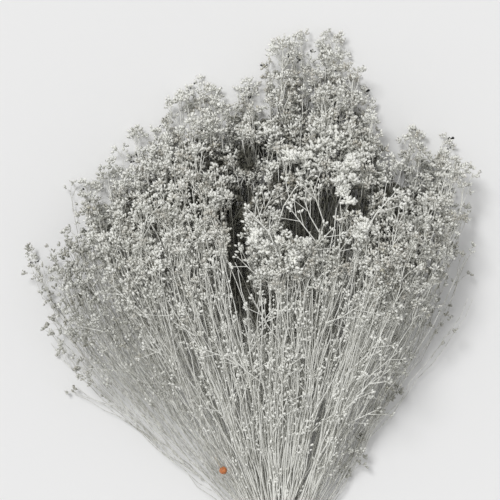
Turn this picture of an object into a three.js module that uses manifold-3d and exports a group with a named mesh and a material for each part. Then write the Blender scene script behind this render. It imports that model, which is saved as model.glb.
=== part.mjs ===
// A bunch of dried broom bloom, lying down as it is sold: wiry stems held at the waist by a wound
// elastic band, cut off below it and fanning out above it into panicles of tiny buds.
// Millimetres, +Z up. The origin is under the band, on the surface that the bunch lies on.
// +Y runs from the band towards the blooms.

import * as THREE from "three";
import { mergeVertices } from "three/addons/utils/BufferGeometryUtils.js";
import Module from "manifold-3d";

// The stems. Each carries a panicle and has a shoot on its left and one on its right that do too.
const stemsInRow = [7, 8, 7, 6, 5]; // from the lowest row at the waist to the highest
const stemRadius = 1.25;
const stemTipRadius = 0.8;
const stemSides = 4;
const knotPitch = 7; // the stem's straight stretches grow longer with the square of their number
const shootRadius = 0.75;
const shootTipRadius = 0.65;
const shootSides = 3;
const shootStart = 0.3; // the share of the stem's reach at which the shoots leave it
const shootBend = 0.35; // where a shoot has spread halfway, as a share of its length
const spreadPower = 0.6; // of the curve along which it spreads
const shootSpread = 0.56; // how far it spreads into the stem's own room, as a share of it

// The panicles: on the stem itself, on its left shoot and on its right shoot
const panicleTop = [1, 0.82, 0.92]; // where a panicle ends, as a share of the stem's reach
const panicleWhorls = [5, 4, 4];
const whorlPitch = 17; // between a panicle's whorls of buds
const whorlDepth = 5.5; // the stretch of core that a whorl's buds grow from
const whorlRadius = 12.5; // over the bud tips, where there is room
const panicleCore = 1.7;
const budLean = 0.3; // how far the buds point forwards, as a share of the whorl's radius
const restHeight = 0.75; // of a lowest whorl's middle, as a share of its radius
const clearance = 0.4; // between a whorl and the room of the next stem

// The fan that the stems make
const cutLength = 84; // from the band down to the cut ends
const fanLeft = 49; // degrees that the lowest row opens to the left
const fanRight = 40; // and to the right
const topNarrowing = 0.42; // how much less than that the highest row opens
const springLength = 40; // over which the stems spring apart above the band
const leanBackFrom = 200; // from here on they lean together again
const leanBack = 0.25;
const moundHeight = 124; // of the blooms, in their middle
const moundReach = 285; // from the band to that middle
const moundTail = 0.42; // how much lower the blooms are at the far end
const moundSide = 0.5; // and at the sides
const waveHeight = 0.32; // of the slow waves that the rows rise and fall in, as a share of the mound
const waves = 4.5; // the turn of the waves from the middle to each side, in radians
const waveLength = 60;
const shortTop = 0.2; // how much shorter the highest row's stems are
const shortParting = 0.2; // and how much more so where the blooms part
const partingAngle = 2;
const partingWidth = 11;

// The longest stems, by their angle: a broad left shoulder, a tuft right of the middle and a low
// right shoulder.
const reachByAngle = [
  [-50, 268], [-43, 345], [-32, 376], [-24, 366], [-13, 402], [-5, 434],
  [1, 494], [9, 486], [15, 410], [27, 376], [34, 306], [40, 240],
];

// The waist and its elastic band, which is flatter below than above
const stemPitch = 2.9; // from stem to stem in a row
const rowPitch = 2.3; // the stems of a row lie over the gaps of the row below
const bandHalfWidth = 12.1;
const bandRise = 9.7; // of its inner wall above the second row
const bandDrop = 4.7;
const bandSquareness = [3, 2.1]; // the exponents of its outline below and above that row
const bandTurns = 3;
const bandTurnWidth = 2.2;
const bandThickness = 1.5;
const bandGroove = 0.6;
const bandSides = 24;

// A stray seed ball that lies on the highest row's left stem, with its stalk along the stem
const ballRadius = 3.2;
const ballReach = 92;
const ballGap = 0.3;
const stalkLength = 10;
const stalkRadius = 0.5;

const rows = stemsInRow.length;
const waistBottom = bandDrop + bandThickness - 1.5 * rowPitch;
const waistTop = waistBottom + rows * rowPitch;
const up = new THREE.Vector3(0, 0, 1);

const wasm = await Module();
wasm.setup();

let seed = 20;
// A repeatable draw between low and high.
function draw(low, high) {
  seed = (seed * 1664525 + 1013904223) % 4294967296;
  return low + ((high - low) * seed) / 4294967296;
}

function clamp(value, low, high) {
  return Math.min(high, Math.max(low, value));
}

function ease(value) {
  const t = clamp(value, 0, 1);
  return t * t * (3 - 2 * t);
}

// The angle of a stem's ray, in degrees. side runs from -1 at the left to 1, and layer from 0 at the
// bottom to 1.
function rayAngle(side, layer) {
  const half = ((fanRight + fanLeft) / 2) * (1 - topNarrowing * layer ** 1.5);
  return (fanRight - fanLeft) / 2 + side * half;
}

// The share of its ray's angle that a stem has reached.
function opening(reach) {
  const back = Math.max(0, (reach - leanBackFrom) / leanBackFrom);
  return (1 - Math.exp(-reach / springLength)) * (1 - leanBack * back ** 1.5);
}

// The height of the blooms' upper surface.
function moundTop(x, y) {
  const reach = Math.hypot(x, y);
  const rise = ease(reach / moundReach);
  const fall = 1 - moundTail * ease((reach - moundReach) / (moundReach / 2));
  const sideways = Math.min(1, Math.atan2(Math.abs(x), y) / THREE.MathUtils.degToRad(fanLeft));
  return waistTop + (moundHeight - waistTop) * rise * fall * (1 - (1 - moundSide) * sideways ** 2);
}

// Half the width of the waist at a layer, where the stems of a row lie side by side.
function waistHalfWidth(layer) {
  const row = clamp(layer * rows - 0.5, 0, rows - 1);
  const [below, above] = [stemsInRow[Math.floor(row)], stemsInRow[Math.ceil(row)]];
  return (THREE.MathUtils.lerp(below, above, row % 1) * stemPitch) / 2;
}

// A point of the bunch, at a reach from the band that is negative below it. Stems that keep to their
// own side and layer never cross.
function place(side, layer, reach) {
  const waistX = side * waistHalfWidth(layer);
  if (reach < 0) return new THREE.Vector3(waistX, reach, THREE.MathUtils.lerp(waistBottom, waistTop, layer));
  const angle = THREE.MathUtils.degToRad(rayAngle(side, layer)) * opening(reach);
  const x = waistX + reach * Math.sin(angle);
  const y = reach * Math.cos(angle);
  const spread = ease(reach / moundReach);
  const wave = waveHeight * Math.sin(waves * side + reach / waveLength) * layer * (1 - layer) * spread;
  return new THREE.Vector3(
    x,
    y,
    THREE.MathUtils.lerp(waistBottom * (1 - spread), moundTop(x, y), layer + wave),
  );
}

// How far a stem's furthest buds reach.
function longestReach(side, layer) {
  const angle = clamp(rayAngle(side, layer), reachByAngle[0][0], reachByAngle.at(-1)[0]);
  const next = reachByAngle.findIndex(([a], i) => i > 0 && a >= angle);
  const [[a0, r0], [a1, r1]] = reachByAngle.slice(next - 1, next + 1);
  const outer = THREE.MathUtils.lerp(r0, r1, (angle - a0) / (a1 - a0));
  const parting = Math.exp(-(((angle - partingAngle) / partingWidth) ** 2));
  return outer * (1 - layer * (shortTop + shortParting * parting));
}

// A ring of points round a route, which is a function from a reach to a point.
function ringOn(route, reach, radius, sides, spin) {
  const along = route(reach + 1).sub(route(reach - 1)).normalize();
  const across = new THREE.Vector3().crossVectors(along, up).normalize();
  const over = new THREE.Vector3().crossVectors(across, along);
  return Array.from({ length: sides }, (_, k) => {
    const angle = spin - (k / sides) * 2 * Math.PI;
    const offset = across.clone().multiplyScalar(Math.cos(angle)).addScaledVector(over, Math.sin(angle));
    return route(reach).addScaledVector(offset, radius);
  });
}

// The triangles between two rings.
function sleeve(near, far) {
  return near.flatMap((corner, k) => {
    const next = (k + 1) % near.length;
    return [[corner, near[next], far[k]], [near[next], far[next], far[k]]];
  });
}

// The triangles from a ring, or from a triangle, to a point ahead of it.
function cone(ring, point) {
  return ring.map((corner, k) => [corner, ring[(k + 1) % ring.length], point]);
}

function startCap(ring) {
  return ring.slice(2).map((corner, k) => [ring[0], corner, ring[k + 1]]);
}

// A stem or shoot with its panicle, as one closed surface. Each whorl is a short stretch of the core
// whose facets are drawn out into pointed buds, and the panicle ends in one more bud.
function buddedAxis(route, knots, radii, whorls, sides, spin) {
  const first = whorls[0].at - whorlPitch / 2;
  const twig = (at) => {
    const taper = clamp((at - knots[0]) / (first - knots[0]), 0, 1);
    return ringOn(route, at, THREE.MathUtils.lerp(...radii, taper), sides, spin);
  };
  let near = twig(knots[0]);
  const surface = startCap(near);
  const growTo = (far) => {
    surface.push(...sleeve(near, far));
    near = far;
  };
  for (const at of [...knots.slice(1), first]) growTo(twig(at));
  let tip = first;
  for (const { at, radius, height } of whorls) {
    const centre = route(at);
    const ahead = route(at + 1).sub(route(at - 1)).setLength(radius * budLean);
    growTo(ringOn(route, at - whorlDepth / 2, panicleCore, sides, spin));
    spin -= Math.PI / sides;
    const far = ringOn(route, at + whorlDepth / 2, panicleCore, sides, spin);
    for (const facet of sleeve(near, far)) {
      const middle = facet[0].clone().add(facet[1]).add(facet[2]).divideScalar(3);
      const point = middle.sub(centre).setLength(radius - ahead.length() / 3);
      point.z *= height / radius;
      point.add(ahead).add(centre);
      surface.push(...cone(facet, point));
    }
    near = far;
    tip = at + radius;
  }
  surface.push(...cone(near, route(tip)));
  // What rests on the surface is pressed flat.
  for (const corner of surface.flat()) corner.z = Math.max(0, corner.z);
  return solidOf(surface);
}

// A closed solid from the triangles of its surface.
function solidOf(triangles) {
  const geometry = new THREE.BufferGeometry().setFromPoints(triangles.flat());
  const merged = mergeVertices(geometry, 1e-4);
  return new wasm.Manifold(
    new wasm.Mesh({
      numProp: 3,
      vertProperties: merged.attributes.position.array,
      triVerts: new Uint32Array(merged.index.array),
    }),
  );
}

function trianglesOf(geometry) {
  const { position } = (geometry.index ? geometry.toNonIndexed() : geometry).attributes;
  const corner = (i) => new THREE.Vector3().fromBufferAttribute(position, i);
  return Array.from({ length: position.count / 3 }, (_, k) => [0, 1, 2].map((i) => corner(3 * k + i)));
}

// Pieces joined in one solid, without the hollows and scraps that joining can leave.
function joined(pieces) {
  const whole = pieces.reduce((sum, piece) => sum.add(piece));
  return whole.decompose().reduce((best, body) => (body.volume() > best.volume() ? body : best));
}

function meshOf(name, solid, material) {
  const { numVert, vertProperties, triVerts } = solid.getMesh();
  const geometry = new THREE.BufferGeometry();
  geometry.setAttribute("position", new THREE.BufferAttribute(vertProperties.slice(0, numVert * 3), 3));
  geometry.setIndex(new THREE.BufferAttribute(triVerts.slice(), 1));
  geometry.computeVertexNormals();
  const mesh = new THREE.Mesh(geometry, material);
  mesh.name = name;
  return mesh;
}

// One stem with its shoots. It keeps to a room of its own, of which half the width is one step of
// side and half the height is one step of layer.
function stem(row, column) {
  const sideStep = 1 / stemsInRow[row];
  const layerStep = 0.5 / rows;
  const side = (2 * column + 1) * sideStep - 1;
  const layer = (2 * row + 1) * layerStep;
  const reach = longestReach(side, layer) * draw(0.95, 1);

  // The whorls of an axis that spreads sideways by a share of the room.
  const whorlsOf = (axis, sideways) =>
    Array.from({ length: panicleWhorls[axis] }, (_, i) => {
      const below = panicleWhorls[axis] - 1 - i;
      const at = reach * panicleTop[axis] - whorlRadius - below * whorlPitch - draw(0, 0.3) * whorlPitch;
      const here = place(side, layer, at);
      const roomAcross = here.distanceTo(place(side + sideStep, layer, at)) * 0.94;
      const radius = Math.min(whorlRadius * draw(0.88, 1), roomAcross * (1 - Math.abs(sideways)) - clearance);
      const [floor, ceiling] = [-1, 1].map((way) => place(side, layer + way * layerStep, at).z);
      return { at, radius, height: Math.min(radius, here.z - floor, ceiling - here.z) - clearance };
    });
  // An axis that leaves another one at its start. The lowest row's come down to the surface.
  const routeOf = (base, sideways, start, whorls) => {
    const { at: end, height } = whorls.at(-1);
    const spread = (at, away) => {
      const aside = place(side + sideways * sideStep * away, layer, at);
      return base(at).add(aside).sub(place(side, layer, at));
    };
    const drop = row === 0 ? spread(end, 1).z - height * restHeight : 0;
    return (at) => {
      const away = Math.max(0, (at - start) / (end - start)) ** spreadPower;
      const point = spread(at, away);
      point.z -= drop * away;
      return point;
    };
  };

  const stemWhorls = whorlsOf(0, 0);
  const stemRoute = routeOf((at) => place(side, layer, at), 0, 0, stemWhorls);
  // Short straight stretches where the stems spring apart, and longer ones above.
  const knots = [-cutLength + draw(-3, 3)];
  for (let k = 0; knotPitch * k * k < stemWhorls[0].at - whorlPitch; k++) knots.push(knotPitch * k * k);
  const pieces = [buddedAxis(stemRoute, knots, [stemRadius, stemTipRadius], stemWhorls, stemSides, 0)];
  for (const [axis, sideways] of [[1, -shootSpread], [2, shootSpread]]) {
    const whorls = whorlsOf(axis, sideways);
    const start = reach * shootStart * draw(0.85, 1.15);
    const bend = THREE.MathUtils.lerp(start, whorls[0].at - whorlPitch / 2, shootBend);
    const route = routeOf(stemRoute, sideways, start, whorls);
    const radii = [shootRadius, shootTipRadius];
    pieces.push(buddedAxis(route, [start, bend], radii, whorls, shootSides, draw(0, 2 * Math.PI)));
  }
  return joined(pieces);
}

// The elastic band: turns side by side round the waist, with a flat underside on the surface.
function elasticBand() {
  const half = (bandTurns * bandTurnWidth) / 2;
  const profile = [new THREE.Vector2(1, half), new THREE.Vector2(1, -half)];
  for (let turn = 0; turn < bandTurns; turn++) {
    const start = -half + turn * bandTurnWidth;
    profile.push(new THREE.Vector2(1 + bandThickness - bandGroove, start));
    profile.push(new THREE.Vector2(1 + bandThickness, start + 0.25 * bandTurnWidth));
    profile.push(new THREE.Vector2(1 + bandThickness, start + 0.75 * bandTurnWidth));
  }
  profile.push(new THREE.Vector2(1 + bandThickness - bandGroove, half), profile[0].clone());
  const geometry = new THREE.LatheGeometry(profile, bandSides, Math.PI / bandSides);
  const position = geometry.attributes.position;
  const oval = (share, exponent) => Math.sign(share) * Math.abs(share) ** (2 / exponent);
  for (let i = 0; i < position.count; i++) {
    const [x, z] = [position.getX(i), position.getZ(i)];
    const distance = Math.hypot(x, z);
    const wall = distance - 1;
    const exponent = bandSquareness[z < 0 ? 0 : 1];
    const height = z < 0 ? bandDrop : bandRise;
    position.setX(i, (bandHalfWidth + wall) * oval(x / distance, exponent));
    position.setZ(i, (height + wall) * oval(z / distance, exponent));
  }
  geometry.computeBoundingBox();
  geometry.translate(0, 0, -geometry.boundingBox.min.z);
  return solidOf(trianglesOf(geometry));
}

// A stray seed ball with its stalk, lying on the highest row's left stem.
function seedBall() {
  const [side, layer] = [1 / stemsInRow.at(-1) - 1, 1 - 0.5 / rows];
  const stemRoute = (at) => place(side, layer, at);
  const route = (at) => ringOn(stemRoute, at, stemRadius + ballGap + ballRadius, 1, Math.PI / 2)[0];
  const ball = new THREE.IcosahedronGeometry(ballRadius, 1).translate(...route(ballReach));
  const stalkEnd = ballReach + ballRadius + stalkLength;
  const rings = [ballReach + ballRadius / 2, stalkEnd].map((at) =>
    ringOn(route, at, stalkRadius, stemSides, 0),
  );
  const point = route(stalkEnd + stalkRadius);
  const stalk = [...startCap(rings[0]), ...sleeve(...rings), ...cone(rings[1], point)];
  return joined([solidOf(trianglesOf(ball)), solidOf(stalk)]);
}

const dried = new THREE.MeshStandardMaterial({ color: 0xb9bab2, roughness: 0.85, metalness: 0 });
const rubber = new THREE.MeshStandardMaterial({ color: 0xb98d5c, roughness: 0.6, metalness: 0 });
const orangeSkin = new THREE.MeshStandardMaterial({ color: 0xd9822b, roughness: 0.5, metalness: 0 });

const bunch = new THREE.Group();
stemsInRow.forEach((count, row) => {
  for (let column = 0; column < count; column++) {
    bunch.add(meshOf(`stem_row${row + 1}_${column + 1}`, stem(row, column), dried));
  }
});
bunch.add(meshOf("elastic_band", elasticBand(), rubber));
bunch.add(meshOf("seed_ball", seedBall(), orangeSkin));

export default bunch;
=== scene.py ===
# A lying bunch of dried broom bloom: wiry forked stems, thousands of frosted buds, a wound elastic band
# and one stray orange seed ball. Metres, in the frame of the CAD model.
import math
import random

import bmesh
import bpy
import numpy as np
from mathutils import Matrix, Vector, noise


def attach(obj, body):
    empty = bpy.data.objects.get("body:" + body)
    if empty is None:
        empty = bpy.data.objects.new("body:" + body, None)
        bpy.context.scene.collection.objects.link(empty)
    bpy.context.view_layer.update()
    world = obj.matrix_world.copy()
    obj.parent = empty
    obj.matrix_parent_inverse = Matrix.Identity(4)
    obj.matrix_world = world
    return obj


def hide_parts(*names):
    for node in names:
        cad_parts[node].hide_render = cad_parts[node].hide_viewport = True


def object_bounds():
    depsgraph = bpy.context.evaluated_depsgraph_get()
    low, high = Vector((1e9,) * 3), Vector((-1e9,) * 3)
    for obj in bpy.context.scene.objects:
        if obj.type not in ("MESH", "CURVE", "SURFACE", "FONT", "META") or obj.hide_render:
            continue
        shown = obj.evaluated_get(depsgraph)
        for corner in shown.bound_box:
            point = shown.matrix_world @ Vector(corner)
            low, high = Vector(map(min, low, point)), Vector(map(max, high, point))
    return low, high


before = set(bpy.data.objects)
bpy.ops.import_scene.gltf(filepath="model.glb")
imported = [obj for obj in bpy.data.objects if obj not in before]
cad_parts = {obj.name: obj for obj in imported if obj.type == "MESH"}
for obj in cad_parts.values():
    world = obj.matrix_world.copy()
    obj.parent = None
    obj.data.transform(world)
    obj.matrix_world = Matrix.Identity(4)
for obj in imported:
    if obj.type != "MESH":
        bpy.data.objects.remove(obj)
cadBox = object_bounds()
scene = bpy.context.scene
print("frame loaded with", len(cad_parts), "nodes")

mm = 0.001
up = Vector((0, 0, 1))

# Camera: straight above the blooms, with the band and the cut ends below the picture
view = {"centre": (-21.6 * mm, 260 * mm), "height": 1.4, "bloomHeight": 50 * mm, "width": 0.4, "sensor": 36}


def addCamera():
    data = bpy.data.cameras.new("camera")
    data.sensor_width = view["sensor"]
    data.lens = view["sensor"] * (view["height"] - view["bloomHeight"]) / view["width"]
    camera = bpy.data.objects.new("camera", data)
    camera.location = (*view["centre"], view["height"])
    scene.collection.objects.link(camera)
    scene.camera = camera


# Light: a large soft lamp at the picture's upper left, and a pale room
light = {"lamp": 1.66, "softness": 18, "elevation": 58, "bearing": 130, "room": 0.55}


def addLight():
    data = bpy.data.lights.new("lamp", "SUN")
    data.energy = light["lamp"]
    data.angle = math.radians(light["softness"])
    lamp = bpy.data.objects.new("lamp", data)
    elevation, bearing = math.radians(light["elevation"]), math.radians(light["bearing"])
    flat = math.cos(elevation)
    towards = Vector((flat * math.cos(bearing), flat * math.sin(bearing), math.sin(elevation)))
    lamp.rotation_euler = towards.to_track_quat("Z", "Y").to_euler()
    scene.collection.objects.link(lamp)
    world = bpy.data.worlds.new("room")
    world.use_nodes = True
    world.node_tree.nodes["Background"].inputs["Color"].default_value = (1, 1, 1, 1)
    world.node_tree.nodes["Background"].inputs["Strength"].default_value = light["room"]
    scene.world = world
    scene.view_settings.view_transform = "Standard"


addCamera()
addLight()
print("camera and light placed")


# Small helpers for node trees. A value is a number, a colour or another node's socket.
def setInput(tree, socket, value):
    if isinstance(value, bpy.types.NodeSocket):
        tree.links.new(value, socket)
    else:
        socket.default_value = value


def addNode(tree, kind, inputs=None, **settings):
    node = tree.nodes.new(kind)
    for name, value in settings.items():
        setattr(node, name, value)
    for name, value in (inputs or {}).items():
        setInput(tree, node.inputs[name], value)
    return node


def mixColours(tree, factor, first, second):
    return addNode(tree, "ShaderNodeMix", {0: factor, 6: first, 7: second}, data_type="RGBA").outputs[2]


def calculate(tree, operation, *values, clamp=False):
    inputs = dict(enumerate(values))
    return addNode(tree, "ShaderNodeMath", inputs, operation=operation, use_clamp=clamp).outputs[0]


def stretch(tree, value, low, high, newLow=0.0, newHigh=1.0):
    inputs = {"Value": value, 1: low, 2: high, 3: newLow, 4: newHigh}
    return addNode(tree, "ShaderNodeMapRange", inputs, clamp=True).outputs["Result"]


def noiseOn(tree, scale, detail=2.0, stretched=(1, 1, 1)):
    place = addNode(tree, "ShaderNodeTexCoord").outputs["Object"]
    mapping = addNode(tree, "ShaderNodeMapping", {"Vector": place, "Scale": stretched})
    inputs = {"Vector": mapping.outputs["Vector"], "Scale": scale, "Detail": detail}
    return addNode(tree, "ShaderNodeTexNoise", inputs).outputs["Fac"]


def readAttribute(tree, name):
    return addNode(tree, "ShaderNodeAttribute", attribute_name=name).outputs["Fac"]


def newMaterial(name, roughness):
    material = bpy.data.materials.new(name)
    material.use_nodes = True
    tree = material.node_tree
    shader = tree.nodes["Principled BSDF"]
    shader.inputs["Roughness"].default_value = roughness
    return material, tree, shader


def addColour(tree, shader, factor, first, second):
    setInput(tree, shader.inputs["Base Color"], mixColours(tree, factor, first, second))


def addBump(tree, shader, height, strength, depth):
    bump = addNode(tree, "ShaderNodeBump", {"Height": height, "Strength": strength, "Distance": depth})
    setInput(tree, shader.inputs["Normal"], bump.outputs["Normal"])


# A colour with others over it, each laid on by a value that its row in the look stretches
def layered(tree, look, under, layers):
    colour = look[under]
    for over, value in layers.items():
        colour = mixColours(tree, stretch(tree, value, *look[over + "Over"]), colour, look[over])
    return colour


# An amount times several values, each stretched by its row in the look
def multiplied(tree, look, amount, values):
    for name, value in values.items():
        amount = calculate(tree, "MULTIPLY", amount, stretch(tree, value, *look[name + "Frost"]))
    return amount


# Frost: the pale bloom on every outer surface. Its mask also holds painted light: more frost on upward faces
# as painted top light, and less under the highest blooms as painted shade, where a little less frost reaches
# too.
# Here and below, a row stretches its first two values to its last two, or to 0 and 1.
frostAndPaintedLightLook = {
    # The first row paints top light, more frost on upward faces; the second paints shade under the highest
    # blooms
    "paintedTopLight": (-0.8, 0.6, 0.5, 1.0), "depthFrost": (0.1, 0.9, 1.0, 0.06),
    "grainFrost": (0.35, 0.62, 0.55, 1.0), "patchesFrost": (0.38, 0.62, 0.76, 1.32), "patchScale": 48.0,
}


def frostAndPaintedLightGroup():
    group = bpy.data.node_groups.new("frost", "ShaderNodeTree")
    for name in ("Amount", "Depth", "Grain"):
        group.interface.new_socket(name, in_out="INPUT", socket_type="NodeSocketFloat")
    group.interface.new_socket("Mask", in_out="OUTPUT", socket_type="NodeSocketFloat")
    given = addNode(group, "NodeGroupInput").outputs
    normal = addNode(group, "ShaderNodeNewGeometry").outputs["Normal"]
    # Painted light: upward faces get more frost than undersides, and the depth share takes frost away as
    # painted shade
    upwards = addNode(group, "ShaderNodeSeparateXYZ", {0: normal}).outputs["Z"]
    shares = {
        "grain": noiseOn(group, given["Grain"], 3.0), "patches": noiseOn(group, frostAndPaintedLightLook["patchScale"], 1.0),
        "depth": given["Depth"],
    }
    mask = multiplied(group, frostAndPaintedLightLook, stretch(group, upwards, *frostAndPaintedLightLook["paintedTopLight"]), shares)
    mask = calculate(group, "MULTIPLY", mask, given["Amount"], clamp=True)
    addNode(group, "NodeGroupOutput", {"Mask": mask})
    return group


# The node group named frost also paints top light and shade into the frost mask
frost = frostAndPaintedLightGroup()


def frostAndPaintedLightMask(tree, amount, grain):
    node = addNode(tree, "ShaderNodeGroup", node_tree=frost)
    # The depth attribute is painted shade under the highest blooms
    for name, value in (("Amount", amount), ("Depth", readAttribute(tree, "depth")), ("Grain", grain)):
        setInput(tree, node.inputs[name], value)
    return node.outputs["Mask"]


# Buds: grey-green to brownish skin under the frost, with a paler tip, and a near-black colour that paints
# shade under the highest blooms. A tone from 0 to 1 differs from head to head, and one below 0 is white.
budLook = {
    "green": (0.265, 0.27, 0.22, 1), "brown": (0.29, 0.25, 0.18, 1), "yellow": (0.39, 0.35, 0.19, 1),
    "paintedShade": (0.055, 0.053, 0.033, 1), "bare": (0.13, 0.13, 0.09, 1), "frost": (0.93, 0.93, 0.885, 1),
    "brownOver": (0.45, 0.8), "yellowOver": (0.93, 0.97), "bareOver": (0, 1, 0, 0.85),
    "paintedShadeOver": (0.25, 0.95), "tipFrost": (0.1, 0.9, 0.6, 1.15), "footFrost": (-0.6, 0.3),
    "toneFrost": (0.0, 1.0, 1.7, 0.75), "bareFrost": (0, 1, 1, 0.6), "whiteFrost": (-1, 0, 1.4, 0),
    "grain": 1400.0, "roughness": 0.85, "bump": 0.35, "bumpScale": 1500.0, "bumpDepth": 0.3 * mm,
}


def budMaterial():
    material, tree, shader = newMaterial("frostedBud", budLook["roughness"])
    tone, along, bare, depth = (readAttribute(tree, name) for name in ("tone", "along", "bare", "depth"))
    # The near-black layer is painted shade, laid on by the depth attribute
    layers = {"brown": tone, "yellow": tone, "bare": bare, "paintedShade": depth}
    skin = layered(tree, budLook, "green", layers)
    tip = stretch(tree, along, *budLook["tipFrost"])
    amount = multiplied(tree, budLook, tip, {"foot": along, "tone": tone, "bare": bare})
    amount = calculate(tree, "ADD", amount, stretch(tree, tone, *budLook["whiteFrost"]))
    mask = frostAndPaintedLightMask(tree, amount, budLook["grain"])
    addColour(tree, shader, mask, skin, budLook["frost"])
    addBump(tree, shader, noiseOn(tree, budLook["bumpScale"], 3.0), budLook["bump"], budLook["bumpDepth"])
    return material


# Stems: pale grey bark with darker streaks, lighter and darker from stem to stem, and a near-black colour
# that paints shade under the highest blooms
stemLook = {
    "dark": (0.31, 0.303, 0.25, 1), "light": (0.68, 0.665, 0.6, 1), "paintedShade": (0.10, 0.098, 0.075, 1),
    "bare": (0.2, 0.195, 0.15, 1), "frost": (0.91, 0.91, 0.865, 1), "stemPattern": (420, 14, 420),
    "streakPattern": (2500, 160, 2500), "lightOver": (0.35, 0.65), "bareOver": (0, 1, 0, 0.85),
    "paintedShadeOver": (0.3, 1.0), "amount": 2.1, "streakFrost": (0.3, 0.7, 0.5, 1.1), "bareFrost": (0, 1, 1, 0.4),
    "stemFrost": (0.36, 0.6, 0.48, 1.2), "grain": 600.0, "roughness": 0.8, "bump": 0.3, "bumpDepth": 0.2 * mm,
}


def stemMaterial():
    material, tree, shader = newMaterial("frostedStem", stemLook["roughness"])
    fromStemToStem = noiseOn(tree, 1.0, 2.0, stemLook["stemPattern"])
    streak = noiseOn(tree, 1.0, 3.0, stemLook["streakPattern"])
    bare, depth = readAttribute(tree, "bare"), readAttribute(tree, "depth")
    # The near-black layer is painted shade, laid on by the depth attribute
    bark = layered(tree, stemLook, "dark", {"light": fromStemToStem, "bare": bare, "paintedShade": depth})
    values = {"streak": streak, "bare": bare, "stem": fromStemToStem}
    mask = frostAndPaintedLightMask(tree, multiplied(tree, stemLook, stemLook["amount"], values), stemLook["grain"])
    addColour(tree, shader, mask, bark, stemLook["frost"])
    addBump(tree, shader, streak, stemLook["bump"], stemLook["bumpDepth"])
    return material


# The fan of stems, with the same places and the same draws as the solids. Angles are in degrees from
# straight up, and reachByAngle says how far it reaches in millimetres.
fan = {
    "stemsInRow": [7, 8, 7, 6, 5], "cutLength": 84 * mm, "left": 49, "right": 40, "topNarrowing": 0.42,
    "springLength": 40 * mm, "leanBackFrom": 200 * mm, "leanBack": 0.25, "moundHeight": 124 * mm,
    "moundReach": 285 * mm, "moundTail": 0.42, "moundSide": 0.5, "waveHeight": 0.32, "waves": 4.5,
    "waveLength": 60 * mm, "shortTop": 0.2, "shortParting": 0.2, "partingAngle": 2, "partingWidth": 11,
    "reachByAngle": [
        (-50, 268), (-43, 345), (-32, 376), (-24, 366), (-13, 402), (-5, 434),
        (1, 494), (9, 486), (15, 410), (27, 376), (34, 306), (40, 240),
    ],
    "stemPitch": 2.9 * mm, "waistBottom": 2.75 * mm, "waistTop": 14.25 * mm, "seed": 20,
}
# A stem's panicles: on the stem itself, on its left shoot and on its right shoot
panicles = {
    "top": [1, 0.82, 0.92], "whorls": [5, 4, 4], "pitch": 17 * mm, "radius": 12.5 * mm, "restHeight": 0.75,
    "clearance": 0.4 * mm, "shootStart": 0.3, "shootSpread": 0.56, "spreadPower": 0.6, "roomShare": 0.94,
}
uneven = {"reach": (0.95, 1), "cut": (-3, 3), "spacing": (0, 0.3), "girth": (0.88, 1), "start": (0.85, 1.15)}
rows = len(fan["stemsInRow"])
drawn = fan["seed"]


def draw(low, high):
    global drawn
    drawn = (drawn * 1664525 + 1013904223) % 4294967296
    return low + (high - low) * drawn / 4294967296


def clamp(value, low, high):
    return min(high, max(low, value))


def mixed(first, second, share):
    return first + (second - first) * share


def ease(value):
    t = np.clip(value, 0, 1)
    return t * t * (3 - 2 * t)


# An eased rise from 0 to 1 between two limits
def ramp(value, limits):
    first, last = limits
    return ease((value - first) / (last - first))


def rayAngle(side, layer):
    half = (fan["right"] + fan["left"]) / 2 * (1 - fan["topNarrowing"] * layer**1.5)
    return (fan["right"] - fan["left"]) / 2 + side * half


def opening(reach):
    back = max(0, (reach - fan["leanBackFrom"]) / fan["leanBackFrom"])
    return (1 - math.exp(-reach / fan["springLength"])) * (1 - fan["leanBack"] * back**1.5)


# The height of the blooms' upper surface, for one place or for arrays of them
def moundTop(x, y):
    reach = np.hypot(x, y)
    rise = ease(reach / fan["moundReach"])
    fall = 1 - fan["moundTail"] * ease((reach - fan["moundReach"]) / (fan["moundReach"] / 2))
    sideways = np.minimum(1, np.arctan2(np.abs(x), y) / math.radians(fan["left"]))
    shoulder = 1 - (1 - fan["moundSide"]) * sideways**2
    return fan["waistTop"] + (fan["moundHeight"] - fan["waistTop"]) * rise * fall * shoulder


def waistHalfWidth(layer):
    row = clamp(layer * rows - 0.5, 0, rows - 1)
    below, above = fan["stemsInRow"][math.floor(row)], fan["stemsInRow"][math.ceil(row)]
    return mixed(below, above, row % 1) * fan["stemPitch"] / 2


# A point of the bunch, by its side (-1 to 1), its layer (0 to 1) and its reach from the band
def place(side, layer, reach):
    waistX = side * waistHalfWidth(layer)
    if reach < 0:
        return Vector((waistX, reach, mixed(fan["waistBottom"], fan["waistTop"], layer)))
    angle = math.radians(rayAngle(side, layer)) * opening(reach)
    x = waistX + reach * math.sin(angle)
    y = reach * math.cos(angle)
    spread = float(ease(reach / fan["moundReach"]))
    wave = math.sin(fan["waves"] * side + reach / fan["waveLength"]) * layer * (1 - layer) * spread
    layer += fan["waveHeight"] * wave
    return Vector((x, y, mixed(fan["waistBottom"] * (1 - spread), float(moundTop(x, y)), layer)))


def longestReach(side, layer):
    table = fan["reachByAngle"]
    angle = clamp(rayAngle(side, layer), table[0][0], table[-1][0])
    outer = float(np.interp(angle, *zip(*table))) * mm
    parting = math.exp(-(((angle - fan["partingAngle"]) / fan["partingWidth"]) ** 2))
    return outer * (1 - layer * (fan["shortTop"] + fan["shortParting"] * parting))


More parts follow.
